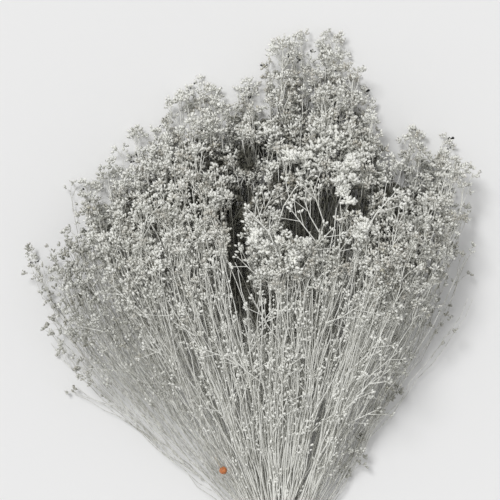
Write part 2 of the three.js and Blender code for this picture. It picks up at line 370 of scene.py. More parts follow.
# The axes of one stem: each a route from reach to point, where it starts, and its whorls
def axesOf(row, column):
    sideStep = 1 / fan["stemsInRow"][row]
    layerStep = 0.5 / rows
    side = (2 * column + 1) * sideStep - 1
    layer = (2 * row + 1) * layerStep
    reach = longestReach(side, layer) * draw(*uneven["reach"])

    def whorlsOf(axis, sideways):
        whorls = []
        for below in reversed(range(panicles["whorls"][axis])):
            spacing = (below + draw(*uneven["spacing"])) * panicles["pitch"]
            at = reach * panicles["top"][axis] - panicles["radius"] - spacing
            here = place(side, layer, at)
            roomAcross = (here - place(side + sideStep, layer, at)).length * panicles["roomShare"]
            room = roomAcross * (1 - abs(sideways)) - panicles["clearance"]
            radius = min(panicles["radius"] * draw(*uneven["girth"]), room)
            floor, ceiling = (place(side, layer + way * layerStep, at).z for way in (-1, 1))
            height = min(radius, here.z - floor, ceiling - here.z) - panicles["clearance"]
            whorls.append({"at": at, "radius": radius, "height": height})
        return whorls

    def routeOf(base, sideways, start, whorls):
        end, height = whorls[-1]["at"], whorls[-1]["height"]

        def spread(at, away):
            return base(at) + place(side + sideways * sideStep * away, layer, at) - place(side, layer, at)

        drop = spread(end, 1).z - height * panicles["restHeight"] if row == 0 else 0

        def route(at):
            away = max(0, (at - start) / (end - start)) ** panicles["spreadPower"]
            return spread(at, away) - up * drop * away

        return route

    whorls = whorlsOf(0, 0)
    stemRoute = routeOf(lambda at: place(side, layer, at), 0, 0, whorls)
    axes = [{"route": stemRoute, "start": -fan["cutLength"] + draw(*uneven["cut"]) * mm, "whorls": whorls}]
    for axis, sideways in ((1, -panicles["shootSpread"]), (2, panicles["shootSpread"])):
        whorls = whorlsOf(axis, sideways)
        start = reach * panicles["shootStart"] * draw(*uneven["start"])
        axes.append({"route": routeOf(stemRoute, sideways, start, whorls), "start": start, "whorls": whorls})
        draw(0, 1)  # the solids draw a turn here
    return {"side": side, "layer": layer, "sideStep": sideStep, "layerStep": layerStep, "axes": axes}


# Buds: three shapes, each on a short, a middling and a long stalk
budShape = {
    "length": 3.3 * mm, "radius": 0.92 * mm, "sides": 4, "stalkRadius": 0.26 * mm, "stalkInside": 0.4,
    "stalks": [0.3 * mm, 1.0 * mm, 2.0 * mm],
    "kinds": [
        {"belly": 1.15, "mouth": 0.9, "mouthAt": 0.7, "tip": 1.0},
        {"belly": 1.1, "mouth": 0.95, "mouthAt": 0.88, "tip": 0.86},
        {"belly": 1.0, "mouth": 1.15, "mouthAt": 0.95, "tip": 0.6},
    ],
}
# The small bud low on a stem has no stalk of its own
smallBud = {"belly": 1.0, "mouth": 0.95, "mouthAt": 0.8, "tip": 1.0}


def budMesh(stalk, kind):
    bm = bmesh.new()
    along = bm.verts.layers.float.new("along")
    bmesh.ops.create_uvsphere(bm, u_segments=budShape["sides"], v_segments=3, radius=1)
    for vert in bm.verts:
        share = (vert.co.z + 1) / 2
        girth = kind["belly"] if share < 0.5 else kind["mouth"]
        height = kind["mouthAt"] if share > 0.5 else share
        if share > 0.9:  # the tip, sunk and dark in an open bud
            height = kind["tip"]
            share = 1 if height > kind["mouthAt"] else -1
        vert[along] = share
        vert.co.x *= budShape["radius"] * girth
        vert.co.y *= budShape["radius"] * girth
        vert.co.z = stalk + height * budShape["length"]
    for face in bm.faces:
        face.material_index = 1
        face.smooth = True
    if stalk:
        addSpike(bm, budShape["stalkRadius"], stalk + budShape["length"] * budShape["stalkInside"])
    return patternFrom(bm, "bud")


# A thin upright cone
def addSpike(bm, radius, length):
    bmesh.ops.create_cone(
        bm, cap_ends=True, segments=3, radius1=radius, radius2=0, depth=length,
        matrix=Matrix.Translation((0, 0, length / 2)),
    )


def meshFrom(bm, name, materials=()):
    mesh = bpy.data.meshes.new(name)
    bm.to_mesh(mesh)
    bm.free()
    for material in materials:
        mesh.materials.append(material)
    return mesh


# A mesh to copy many times, each with its own tone
def patternFrom(bm, name):
    mesh = meshFrom(bm, name)
    mesh.attributes.new("tone", "FLOAT", "POINT")
    return mesh


def sprigMesh():
    bm = bmesh.new()
    addSpike(bm, 1, 1)
    return patternFrom(bm, "sprig")


buds = [[budMesh(stalk, kind) for stalk in budShape["stalks"]] for kind in budShape["kinds"]]
littleBud = budMesh(0, smallBud)
sprig = sprigMesh()


def addCopy(bm, pattern, base, direction, scales, tone):
    copy = pattern.copy()
    spin = Matrix.Rotation(tone * 40, 4, "Z")  # a turn that differs from bud to bud
    turn = direction.to_track_quat("Z", "Y").to_matrix().to_4x4() @ spin
    copy.transform(Matrix.Translation(base) @ turn @ Matrix.Diagonal((*scales, 1)))
    copy.attributes["tone"].data.foreach_set("value", [tone] * len(copy.vertices))
    bm.from_mesh(copy)
    bpy.data.meshes.remove(copy)


# Stalks: poly splines that a round bevel turns into tapering tubes, slimmer where the blooms are thin
slimmest = 0.5


def newStalks(sidesStep):
    curve = bpy.data.curves.new("stalks", "CURVE")
    curve.dimensions = "3D"
    curve.bevel_depth = 1
    curve.bevel_resolution = sidesStep
    curve.use_fill_caps = True
    return curve


def addStalk(curve, points, firstRadius, lastRadius, thinned=False):
    spline = curve.splines.new("POLY")
    spline.points.add(len(points) - 1)
    for i, (point, target) in enumerate(zip(points, spline.points)):
        slim = mixed(slimmest, 1, vigourAt(point)) if thinned else 1
        target.co = (*point, 1)
        target.radius = mixed(firstRadius, lastRadius, i / (len(points) - 1)) * slim


def addTubes(bm, curve):
    holder = bpy.data.objects.new("stalks", curve)
    tubes = bpy.data.meshes.new_from_object(holder)
    for polygon in tubes.polygons:
        polygon.use_smooth = True
    bm.from_mesh(tubes)
    bpy.data.objects.remove(holder)
    bpy.data.curves.remove(curve)
    bpy.data.meshes.remove(tubes)


# Stems: each CAD stem becomes a tuft of finer ones, which fork and end in clumps of buds. They reach these
# shares of the solids' reach, by angle.
tuft = {
    "strands": [7, 7, 9, 12, 14], "forked": 7, "strandRing": 0.9 * mm, "mainRadius": 0.6 * mm,
    "radius": 0.5 * mm, "tipRadius": 0.31 * mm, "step": 16 * mm, "wobble": 1.9 * mm, "firmest": 0.1,
    "spreadOver": 75 * mm, "endJitter": 6 * mm, "sideRoom": (-0.97, 0.81), "layerRoom": (0.02, 1),
    "reach": (0.86, 1.0), "clumps": (2, 3), "clumpStep": (10 * mm, 18 * mm), "lag": (-0.4, 0.45),
    "edgeLag": (0.03, 0, -1.5), "lagLength": 55 * mm, "sway": 0.2, "swayLength": (18 * mm, 30 * mm),
    "whorlClumps": (4, 2, 2), "thinnedTo": (0.42, 0.55), "richAt": 250 * mm, "seed": 5,
    "reachShares": [
        (-46, 0.84), (-40, 0.9), (-33, 1.0), (-28, 1.02), (-20, 1.07), (-16, 1.08), (-12, 1.06), (-9, 1.02),
        (-6, 0.93), (-3, 0.98), (2, 0.93), (8, 0.97), (12, 0.97), (15, 1.01), (18, 0.88), (22, 0.96),
        (26, 1.11), (30, 0.88), (34, 0.73), (40, 0.43),
    ],
    "plume": 11 * mm, "plumeBetween": (320 * mm, 440 * mm), "plumeAngle": -1, "plumeWidth": 6,
    "topStems": (-7, 10), "topStrands": 9, "topClumps": (2, 4),
}
fork = {
    "from": (0.3, 0.62), "fromAtLeft": (0.42, 0.68), "atLeft": 2, "leftBelow": 0.5, "end": (0.84, 1.0),
    "reach": 1.1, "aside": (0.25, 0.7), "up": 0.6, "spreadPower": 0.7, "wobble": 0.6, "radius": 0.43 * mm,
    "tipRadius": 0.29 * mm, "strays": 2, "strayAside": (1.2, 2.4),
}
lowTwig = {
    "count": [3, 4, 9, 12, 14], "from": (0.16, 0.84), "lean": (8, 38), "length": (6 * mm, 20 * mm),
    "radius": 0.2 * mm, "buds": (1, 3), "firstBud": 0.9, "budStep": 0.3, "budOpen": (5, 55),
    "size": (0.8, 1.2), "tone": 0.5, "together": 3, "apart": 7 * mm, "thinnedTo": 0.5,
    "thinFrom": 150 * mm, "thinBelow": 0.5,
}
# A small dark spray low on the right edge
spray = {
    "beyond": 24, "count": (0, 2), "from": (75 * mm, 225 * mm), "ahead": (8 * mm, 14 * mm),
    "aside": (-2 * mm, 5 * mm),
}
# A stout frosted side branch on a high stem, which stands out over the others
spur = {
    "count": [0, 0, 3, 7, 9], "from": (110 * mm, 285 * mm), "lean": (18, 48), "length": (24 * mm, 52 * mm),
    "radius": 0.5 * mm, "tipRadius": 0.3 * mm, "rise": 0.12, "bow": 0.07, "twigs": 3, "twigLean": (20, 42),
    "twigLength": (9 * mm, 18 * mm), "twigRadius": 0.3 * mm, "twigTaper": 0.7, "buds": (3, 5),
    "headRise": 0.2, "headOpen": 60, "size": 1.05, "tone": 0.4,
}
# A clump is a twig with sprigs on it, and each sprig ends in a head of buds
clump = {
    "sprigs": (3, 5), "sprigsFrom": 0.9, "sprigLength": (3 * mm, 7 * mm), "sprigOpen": (15, 62),
    "endOpen": 0.4, "sprigRise": 0.15, "sprigOverlap": 1.1, "sprigRadius": 0.26 * mm, "twigRadius": 0.31 * mm,
    "twigTipRadius": 0.22 * mm, "bow": 0.14, "aside": (2 * mm, 8 * mm), "ahead": (9 * mm, 20 * mm),
    "endAside": 0.15, "endAhead": 0.5, "extent": 24 * mm, "radius": 6 * mm, "highest": 121 * mm,
    "lowest": 2 * mm, "thinSize": 0.98, "thinShare": 0.5, "thinTwig": 0.6, "thinSprigs": 0.4,
    "hidden": 0.4, "hiddenWithin": 290 * mm, "hiddenShare": 0.4, "white": {
        "above": 0.45, "lift": 4 * mm, "heads": 3, "step": 4.5 * mm, "buds": (8, 11), "tone": -0.5,
        "size": 1.35, "rise": 0.5, "open": 85,
    },
}
# A head is buds in a loose spiral over a dome
head = {
    "buds": (3, 4), "size": (0.72, 1.2), "open": 62, "rise": 0.15, "spiral": 2.4, "first": 0.2,
    "turnJitter": 0.4, "openJitter": 0.2, "ownTone": 0.4,
}
# How the clumps of a whorl stand round its axis
whorlShape = {
    "turnStep": 0.8, "turnJitter": 0.3, "leastHeight": 5 * mm, "leastShare": 0.3, "shareJitter": (0.8, 1.2),
    "twigFrom": (0.7, 1.5), "alongJitter": (-0.5, 0.5),
}
# Where the blooms thin out: to the left and the right in degrees, at the far end in millimetres. At least
# this much of them is left on either side.
thinning = {
    "left": (-18, -34), "right": (22, 34), "far": (430, 475), "least": (0.22, 0.12), "chance": (1.1, 0.1),
}
# Near the band the middle stems are bare, up to this far away in millimetres, and not at the sides
bareStems = {"near": (200, 240), "left": (-5, -20), "right": (14, 24), "least": 0.35}
# Hollows in the blooms, painted dark inside as painted shade, and clumps that stand out white, each by its
# centre and its half sizes
hollows = [
    ((-24, 334), (8, 12)), ((-26, 303), (7, 10)), ((-32, 264), (8, 38)), ((-30, 232), (10, 28)),
    ((-11, 213), (11, 20)), ((1, 316), (5, 4)), ((24, 280), (22, 18)), ((40, 293), (9, 13)),
    ((48, 262), (10, 13)), ((62, 294), (9, 16)),
]
whiteClumps = [
    ((-2, 356), (14, 10)), ((21, 330), (13, 12)), ((-13, 323), (9, 8)), ((48, 349), (10, 12)),
    ((-35, 344), (5, 4)), ((-9, 267), (13, 7)), ((17, 263), (6, 4)), ((42, 272), (5, 9)),
    ((51, 304), (4, 9)), ((66, 273), (6, 5)), ((10, 248), (7, 6)), ((55, 323), (6, 8)),
]
hollowFloor = 0.3  # clumps stay below this share of the bunch's height


def randomPoint(rng, size):
    return Vector([rng.uniform(-size, size) for _ in range(3)])


# How rich the blooms are at a place, or at arrays of places
def vigour(x, y):
    angle = np.degrees(np.arctan2(x, y))
    share = 1
    for value, side in ((angle, "left"), (angle, "right"), (y / mm, "far")):
        share = np.minimum(share, 1 - ramp(value, thinning[side]))
    least = np.where(angle < 0, *thinning["least"])
    return least + (1 - least) * share


def vigourAt(point):
    return float(vigour(point.x, point.y))


# How likely a clump is at a place
def bloomChance(point):
    angle = math.degrees(math.atan2(point.x, point.y))
    clear = 0
    for value, side in ((point.y / mm, "near"), (angle, "left"), (angle, "right")):
        clear = max(clear, float(ramp(value, bareStems[side])))
    slope, start = thinning["chance"]
    return min(1, vigourAt(point) * slope + start) * mixed(bareStems["least"], 1, clear)


# How far places lie from a patch's centre, where its edge is at 1
def awayFrom(x, y, patch):
    (centreX, centreY), (halfWidth, halfLength) = patch
    return ((x / mm - centreX) / halfWidth) ** 2 + ((y / mm - centreY) / halfLength) ** 2


def isInside(point, patches):
    return any(awayFrom(point.x, point.y, patch) < 1 for patch in patches)


def tilted(direction, polar, around):
    aside = direction.orthogonal().normalized()
    return Matrix.Rotation(around, 3, direction) @ (Matrix.Rotation(polar, 3, aside) @ direction)


# Buds that fan out from one point, over a dome
def addHead(bm, rng, base, out, count, tone, size, rise, spread):
    turn = rng.uniform(0, 6)
    jitter, openJitter = head["turnJitter"], head["openJitter"]
    for i in range(count):
        polar = math.radians(spread) * math.sqrt((i + head["first"]) / count)
        polar += rng.uniform(-openJitter, openJitter)
        direction = tilted(out, polar, turn + i * head["spiral"] + rng.uniform(-jitter, jitter))
        budTone = mixed(tone, rng.random(), head["ownTone"])
        budSize = size * rng.uniform(*head["size"])
        pattern = rng.choice(rng.choice(buds))
        addCopy(bm, pattern, base, (direction + up * rise).normalized(), [budSize] * 3, budTone)


# The white heads are packed close round the end of their twig
def addWhiteHeads(bm, rng, hub, out):
    white = clump["white"]
    for _ in range(white["heads"]):
        base = hub + randomPoint(rng, white["step"])
        base.z = min(base.z, clump["highest"])
        count = rng.randint(*white["buds"])
        addHead(bm, rng, base, out, count, white["tone"], white["size"], white["rise"], white["open"])


def addSprigs(bm, rng, middle, hub, out, rich, few):
    tone = rng.random()
    size = mixed(clump["thinSize"], 1, rich)
    sprigs = max(1, round(rng.randint(*clump["sprigs"]) * mixed(clump["thinSprigs"], 1, rich) * few))
    turn = rng.uniform(0, 6)
    for i in range(sprigs):
        base = middle.lerp(hub, 1 - rng.uniform(0, clump["sprigsFrom"]) * i / sprigs)
        polar = math.radians(rng.uniform(*clump["sprigOpen"])) * (clump["endOpen"] if i == 0 else 1)
        direction = (tilted(out, polar, turn + i * head["spiral"]) + up * clump["sprigRise"]).normalized()
        length = rng.uniform(*clump["sprigLength"]) * size
        thickness = clump["sprigRadius"]
        addCopy(bm, sprig, base, direction, [thickness, thickness, length * clump["sprigOverlap"]], 0)
        count = rng.randint(*head["buds"])
        addHead(bm, rng, base + direction * length, direction, count, tone, size, head["rise"], head["open"])


# A clump on a bowed twig. Only a hollow keeps out one that is wanted, and a full one has all its sprigs
# where the blooms are thin too.
def addClump(bm, twigs, rng, start, hub, wanted=False, full=False):
    rich = 1 if full else vigourAt(hub)
    if rng.random() > bloomChance(hub) and not (wanted or isInside(hub, whiteClumps)):
        return
    high = hub.z / float(moundTop(hub.x, hub.y))
    if isInside(hub, hollows) and high > hollowFloor:
        return
    isHidden = high < clump["hidden"] and math.hypot(hub.x, hub.y) < clump["hiddenWithin"]
    isWhite = isInside(hub, whiteClumps) and high > clump["white"]["above"]
    lift = clump["white"]["lift"] if isWhite else 0
    hub.z = clamp(hub.z + lift, clump["lowest"], clump["highest"])
    middle = start.lerp(hub, 0.5) + randomPoint(rng, (hub - start).length * clump["bow"])
    slim = mixed(clump["thinTwig"], 1, rich)
    addStalk(twigs, [start, middle, hub], clump["twigRadius"] * slim, clump["twigTipRadius"] * slim)
    out = (hub - middle).normalized()
    if isWhite:
        addWhiteHeads(bm, rng, hub, out)
    else:
        addSprigs(bm, rng, middle, hub, out, rich, clump["hiddenShare"] if isHidden and not full else 1)


# A fine twig low on a stem, with a few small buds along its upper part
def addLowTwig(bm, rng, route, at):
    base = route(at)
    if at < lowTwig["thinFrom"] and vigourAt(base) < lowTwig["thinBelow"]:
        return
    along, across, over = axisFrame(route, at)
    angle = rng.uniform(0, 2 * math.pi)
    lean = math.tan(math.radians(rng.uniform(*lowTwig["lean"])))
    direction = (along + (across * math.cos(angle) + over * math.sin(angle)) * lean).normalized()
    length = rng.uniform(*lowTwig["length"])
    addCopy(bm, sprig, base, direction, [lowTwig["radius"], lowTwig["radius"], length], 0)
    tone = rng.random() * lowTwig["tone"]
    for i in range(rng.randint(*lowTwig["buds"])):
        start = base + direction * length * (lowTwig["firstBud"] - lowTwig["budStep"] * i)
        away = tilted(direction, math.radians(rng.uniform(*lowTwig["budOpen"])), rng.uniform(0, 6))
        addCopy(bm, littleBud, start, away, [rng.uniform(*lowTwig["size"])] * 3, tone)


def addLowTwigs(bm, rng, route, outer, count):
    for i in range(count):
        if i % lowTwig["together"] == 0:
            at = outer * mixed(*lowTwig["from"], math.sqrt(rng.random()))
        addLowTwig(bm, rng, route, at + rng.uniform(-1, 1) * lowTwig["apart"])


def addSprays(bm, twigs, rng, route):
    for _ in range(rng.randint(*spray["count"])):
        at = rng.uniform(*spray["from"])
        along, across, _ = axisFrame(route, at)
        away = along * rng.uniform(*spray["ahead"]) + across * rng.uniform(*spray["aside"])
        addClump(bm, twigs, rng, route(at), route(at) + away, wanted=True, full=True)


def addSpur(bm, twigs, rng, route):
    at = rng.uniform(*spur["from"])
    along, across, over = axisFrame(route, at)
    lean = math.radians(rng.uniform(*spur["lean"])) * rng.choice((-1, 1))
    direction = along * math.cos(lean) + across * math.sin(lean) + over * rng.uniform(0, spur["rise"])
    start = route(at)
    end = start + direction * rng.uniform(*spur["length"])
    end.z = min(end.z, clump["highest"])
    middle = start.lerp(end, 0.5) + randomPoint(rng, (end - start).length * spur["bow"])
    addStalk(twigs, [start, middle, end], spur["radius"], spur["tipRadius"])
    tips = [(end, direction)]
    for i in range(spur["twigs"]):
        base = middle.lerp(end, i / spur["twigs"])
        polar = math.radians(rng.uniform(*spur["twigLean"])) * (-1 if i % 2 else 1)
        aside = direction * math.cos(polar) + direction.cross(up).normalized() * math.sin(polar)
        tip = base + aside * rng.uniform(*spur["twigLength"])
        tip.z = min(tip.z, clump["highest"])
        addStalk(twigs, [base, tip], spur["twigRadius"], spur["twigRadius"] * spur["twigTaper"])
        tips.append((tip, aside))
    tone = rng.random() * spur["tone"]
    for tip, out in tips:
        count = rng.randint(*spur["buds"])
        addHead(bm, rng, tip, out, count, tone, spur["size"], spur["headRise"], spur["headOpen"])


def axisFrame(route, at):
    along = (route(at + mm) - route(at - mm)).normalized()
    across = along.cross(up).normalized()
    return along, across, across.cross(along)


# The clumps of one whorl stand round the axis, inside the whorl's room
def addWhorl(bm, twigs, rng, route, whorl, count, spin):
    at, radius, jitter = whorl["at"], whorl["radius"], whorlShape["turnJitter"]
    height = max(whorl["height"], whorlShape["leastHeight"])
    _, across, over = axisFrame(route, at)
    for k in range(count):
        angle = spin + k * 2 * math.pi / count + rng.uniform(-jitter, jitter)
        out = across * math.cos(angle) * radius + over * math.sin(angle) * height
        share = max(whorlShape["leastShare"], 1 - clump["radius"] / radius)
        share *= rng.uniform(*whorlShape["shareJitter"])
        share *= mixed(clump["thinShare"], 1, vigourAt(route(at)))
        start = route(at - radius * rng.uniform(*whorlShape["twigFrom"]))
        hub = route(at + radius * rng.uniform(*whorlShape["alongJitter"])) + out * share
        addClump(bm, twigs, rng, start, hub)


# Clumps on side twigs, from the tip of a branch downwards
def addClumpsAlong(bm, twigs, rng, route, end, count):
    at = end
    for i in range(rng.randint(*count)):
        along, across, over = axisFrame(route, at)
        angle = rng.uniform(0, 2 * math.pi)
        out = (across * math.cos(angle) + over * math.sin(angle)) * rng.uniform(*clump["aside"])
        ahead = rng.uniform(*clump["ahead"])
        if i == 0:
            out *= clump["endAside"]
            ahead *= clump["endAhead"]
        addClump(bm, twigs, rng, route(at), route(at) + along * ahead + out, wanted=i == 0)
        at -= rng.uniform(*tuft["clumpStep"])


def routePoints(rng, route, start, end, wobble):
    count = max(3, round((end - start) / tuft["step"]))
    points = []
    for i in range(count + 1):
        at = mixed(start, end, i / count)
        loose = wobble * clamp(at / tuft["spreadOver"], tuft["firmest"], 1) if 0 < i < count else 0
        points.append(route(at) + randomPoint(rng, loose))
    return points


# The route of a fine stem, which starts in a ring of them and spreads into its tuft's room. Lag keeps it
# nearer to the middle at first, and the plume bends to the right at the top.
def strandRoute(plan, sideways, upwards, turn, lag, sway):
    ring = tuft["strandRing"]
    waist = Vector((math.cos(turn) * ring, 0, math.sin(turn) * ring))
    half = rayAngle(1, plan["layer"]) - rayAngle(0, plan["layer"])
    lean = rayAngle(plan["side"], plan["layer"]) / half
    offAxis = (rayAngle(plan["side"], plan["layer"]) - tuft["plumeAngle"]) / tuft["plumeWidth"]
    plume = tuft["plume"] * sway * math.exp(-(offAxis**2))
    sway, swayLength = plan["sideStep"] * sway * tuft["sway"], mixed(*tuft["swayLength"], sway)

    def route(at):
        away = float(ease(at / tuft["spreadOver"]))
        side = plan["side"] + plan["sideStep"] * sideways * away
        side += sway * away * math.sin(at / swayLength + turn)
        side -= lean * lag * away * math.exp(-max(0, at) / tuft["lagLength"])
        layer = clamp(plan["layer"] + plan["layerStep"] * upwards * away, *tuft["layerRoom"])
        bent = float(ramp(at, tuft["plumeBetween"]))
        return place(side, layer, at) + waist * (1 - away) + Vector((plume * bent, 0, 0))

    return route


# The route of a fork, which leaves another route and bends away from it
def forkRoute(plan, base, start, end, sideways, upwards):
    def route(at):
        away = max(0, (at - start) / (end - start)) ** fork["spreadPower"]
        side = plan["side"] + plan["sideStep"] * sideways * away
        layer = clamp(plan["layer"] + plan["layerStep"] * upwards * away, *tuft["layerRoom"])
        return base(at) + place(side, layer, at) - place(plan["side"], plan["layer"], at)

    return route


# Whether a stem ends in the tall tuft at the top
def isTop(plan):
    first, last = tuft["topStems"]
    return first < rayAngle(plan["side"], plan["layer"]) < last


# How far the fine stems reach: about as far as the solids, but less at the right edge
def fineReach(side, layer):
    share = float(np.interp(rayAngle(side, layer), *zip(*tuft["reachShares"])))
    return longestReach(side, layer) * share - clump["extent"]


# How far a branch may step sideways, as shares of the stem's own room, before it leaves the fan
def sideRoomOf(plan):
    return [(edge - plan["side"]) / plan["sideStep"] for edge in tuft["sideRoom"]]


def addFork(bm, twigs, rng, plan, base, outer, sideways, aside):
    start = outer * rng.uniform(*fork["fromAtLeft" if plan["forksMore"] else "from"])
    room = fineReach(plan["side"] + (sideways + aside) * plan["sideStep"], plan["layer"])
    forkEnd = min(room, outer * fork["reach"]) * rng.uniform(*fork["end"])
    branch = forkRoute(plan, base, start, forkEnd, aside, rng.uniform(-fork["up"], fork["up"]))
    points = routePoints(rng, branch, start, forkEnd, tuft["wobble"] * fork["wobble"])
    addStalk(twigs, points, fork["radius"], fork["tipRadius"], True)
    addClumpsAlong(bm, twigs, rng, branch, forkEnd, tuft["clumps"])


def addStrand(bm, twigs, rng, plan, number, lowTwigs, spurs):
    low, high = sideRoomOf(plan)
    sideways, upwards = rng.uniform(max(-1, low), min(1, high)), rng.uniform(-1, 1)
    turn = number * 2 * math.pi / (tuft["forked"] - 1)
    lag = rng.uniform(*tuft["lag"]) * (1 - abs(plan["side"]) / 2)
    lag += float(np.interp(plan["side"], (-1, 0, 1), tuft["edgeLag"]))
    route = strandRoute(plan, sideways, upwards, turn, lag, rng.random())
    side, layer = plan["side"] + sideways * plan["sideStep"], plan["layer"] + upwards * plan["layerStep"]
    outer = fineReach(side, clamp(layer, 0, 1))
    end = outer * rng.uniform(*tuft["reach"])
    start = -fan["cutLength"] + rng.uniform(-1, 1) * tuft["endJitter"]
    points = routePoints(rng, route, start, end, tuft["wobble"])
    addStalk(twigs, points, tuft["radius"], tuft["tipRadius"], True)
    addClumpsAlong(bm, twigs, rng, route, end, tuft["topClumps" if isTop(plan) else "clumps"])
    addLowTwigs(bm, rng, route, outer, lowTwigs)
    if rayAngle(plan["side"], plan["layer"]) > spray["beyond"]:
        addSprays(bm, twigs, rng, route)
    elif number <= spurs and upwards > 0:
        addSpur(bm, twigs, rng, route)
    if number >= tuft["forked"]:
        return
    forks = 1 + number % 2 + (fork["atLeft"] if plan["forksMore"] else 0)
    asides = [rng.uniform(*fork["aside"]) * rng.choice((-1, 1)) for _ in range(forks)]
    if number <= fork["strays"]:
        asides.append(rng.uniform(*fork["strayAside"]) * rng.choice((-1, 1)))
    for aside in asides:
        addFork(bm, twigs, rng, plan, route, outer, sideways, clamp(aside, low - sideways, high - sideways))


def addTuft(row, column, materials):
    name = f"stem_row{row + 1}_{column + 1}"
    rng = random.Random(100 * row + column + tuft["seed"])
    plan = axesOf(row, column)
    bm = bmesh.new()
    for layerName in ("along", "tone"):
        bm.verts.layers.float.new(layerName)
    mains, fine = newStalks(1), newStalks(0)
    radii = (tuft["mainRadius"], tuft["radius"], tuft["radius"])
    for axis, clumps, radius in zip(plan["axes"], tuft["whorlClumps"], radii):
        route, whorls = axis["route"], axis["whorls"]
        end = whorls[-1]["at"]
        points = routePoints(rng, route, axis["start"], end, tuft["wobble"])
        addStalk(mains, points, radius, tuft["tipRadius"], True)
        spin = rng.uniform(0, 3)
        for whorl in whorls:
            addWhorl(bm, fine, rng, route, whorl, clumps, spin)
            spin += whorlShape["turnStep"]
        addClump(bm, fine, rng, route(end), route(end + whorls[-1]["radius"] - clump["radius"]))
    isLeft = plan["side"] < 0
    rich = vigourAt(place(plan["side"], plan["layer"], tuft["richAt"]))
    strands = tuft["strands"][row] * mixed(tuft["thinnedTo"][0 if isLeft else 1], 1, rich)
    plan["forksMore"] = isLeft and rich < fork["leftBelow"]
    if isTop(plan):
        strands += tuft["topStrands"]
    lowTwigs = round(lowTwig["count"][row] * mixed(lowTwig["thinnedTo"], 1, rich))
    for number in range(1, round(strands)):
        addStrand(bm, fine, rng, plan, number, lowTwigs, spur["count"][row] * 2)
    addTubes(bm, mains)
    addTubes(bm, fine)
    return finishTuft(bm, name, materials)


# The mesh of a tuft, pressed flat where it rests
def finishTuft(bm, name, materials):
    mesh = meshFrom(bm, name + "_bloom", materials)
    spots = pointsOf(mesh)
    spots[:, 2] = np.maximum(spots[:, 2], 0)
    mesh.vertices.foreach_set("co", spots.ravel())
    return newPiece(mesh, name)


def newPiece(mesh, node):
    piece = bpy.data.objects.new(mesh.name, mesh)
    scene.collection.objects.link(piece)
    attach(piece, "root")
    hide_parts(node)
    return piece


def pointsOf(mesh):
    spots = np.zeros(len(mesh.vertices) * 3, np.float32)
    mesh.vertices.foreach_get("co", spots)
    return spots.reshape(-1, 3)


# Painted shade: how far each point lies under the highest blooms or stems around it, weaker in the open
# middle, at the thin edges and near the outer rim, and full in the hollows; and how bare its place is
paintedShadeMap = {
    "cell": 7 * mm, "lit": 10 * mm, "deepest": 39 * mm, "margin": 50 * mm, "hollowTop": 0.92,
    "hollowEdge": 1.6, "open": (190 * mm, 310 * mm), "openShare": 0.28, "rim": (0.78, 0.96),
    "rimShare": 0.5, "edgeShare": 0.6,
}


def writePaintedShadeAndBareness(pieces):
    corner = np.array(cadBox[0])[:2] - paintedShadeMap["margin"]
    shape = np.ceil((np.array(cadBox[1])[:2] + paintedShadeMap["margin"] - corner) / paintedShadeMap["cell"]).astype(int)

    def cellsOf(spots):
        return tuple(((spots[:, :2] - corner) / paintedShadeMap["cell"]).astype(int).T)

    highest = np.zeros(shape)
    for piece in pieces:
        spots = pointsOf(piece.data)
        np.maximum.at(highest, cellsOf(spots), spots[:, 2])
    for axis in (0, 1):
        highest = (np.roll(highest, 1, axis) + highest * 2 + np.roll(highest, -1, axis)) / 4
    for piece in pieces:
        spots = pointsOf(piece.data)
        x, y, z = spots.T
        reach = np.hypot(x, y)
        # below is the painted shade at each point
        below = np.clip((highest[cellsOf(spots)] - z - paintedShadeMap["lit"]) / paintedShadeMap["deepest"], 0, 1)
        below *= mixed(paintedShadeMap["openShare"], 1, ramp(reach, paintedShadeMap["open"]))
        below *= mixed(paintedShadeMap["edgeShare"], 1, vigour(x, y))
        outer = np.interp(np.degrees(np.arctan2(x, y)), *zip(*fan["reachByAngle"])) * mm
        below *= mixed(1, paintedShadeMap["rimShare"], ramp(reach / outer, paintedShadeMap["rim"]))
        # Inside a hollow, everything under its top is painted dark as painted shade
        for hollow in hollows:
            inside = np.clip(paintedShadeMap["hollowEdge"] - awayFrom(x, y, hollow), 0, 1)
            below = np.maximum(below, inside * (z < moundTop(x, y) * paintedShadeMap["hollowTop"]))
        for name, values in (("depth", below), ("bare", 1 - vigour(x, y))):
            attribute = piece.data.attributes.new(name, "FLOAT", "POINT")
            attribute.data.foreach_set("value", values.astype(np.float32))


def trianglesIn(piece):
    piece.data.calc_loop_triangles()
    return len(piece.data.loop_triangles)


materials = [stemMaterial(), budMaterial()]
tufts = []
for row, count in enumerate(fan["stemsInRow"]):
    for column in range(count):
        tufts.append(addTuft(row, column, materials))
writePaintedShadeAndBareness(tufts)
triangles = [trianglesIn(piece) for piece in tufts]
print("stems with", sum(triangles), "triangles, at most", max(triangles), "a piece")
for pattern in (sprig, littleBud, *sum(buds, [])):
    bpy.data.meshes.remove(pattern)

# Elastic band: one thin loop wound side by side round the waist, which crosses back over its own turns
band = {
    "turns": 5, "radius": 0.68 * mm, "halfWidth": 12.1 * mm, "rise": 9.7 * mm, "drop": 4.7 * mm,
    "middle": 6.2 * mm, "squareness": (3, 2.1), "halfLength": 3.3 * mm, "stepsInTurn": 56, "crossing": 0.06,
    "crossLift": 1.25 * mm, "startAngle": 144, "uneven": 0.06, "seed": 3, "colour": (0.52, 0.33, 0.15, 1),
    "worn": (0.66, 0.50, 0.30, 1), "wearScale": 700, "wear": (0.4, 0.65), "roughness": 0.55,
    "bumpPattern": (300, 2600, 300), "bump": 0.4, "bumpDepth": 0.15 * mm,
}


def bandPoint(angle, outwards, y):
    c, s = math.cos(angle), math.sin(angle)
    exponent = 2 / band["squareness"][0 if s < 0 else 1]
    height = band["drop"] if s < 0 else band["rise"]
    x = math.copysign(abs(c) ** exponent, c) * (band["halfWidth"] + outwards)
    z = math.copysign(abs(s) ** exponent, s) * (height + outwards)
    return Vector((x, y, band["middle"] + z))


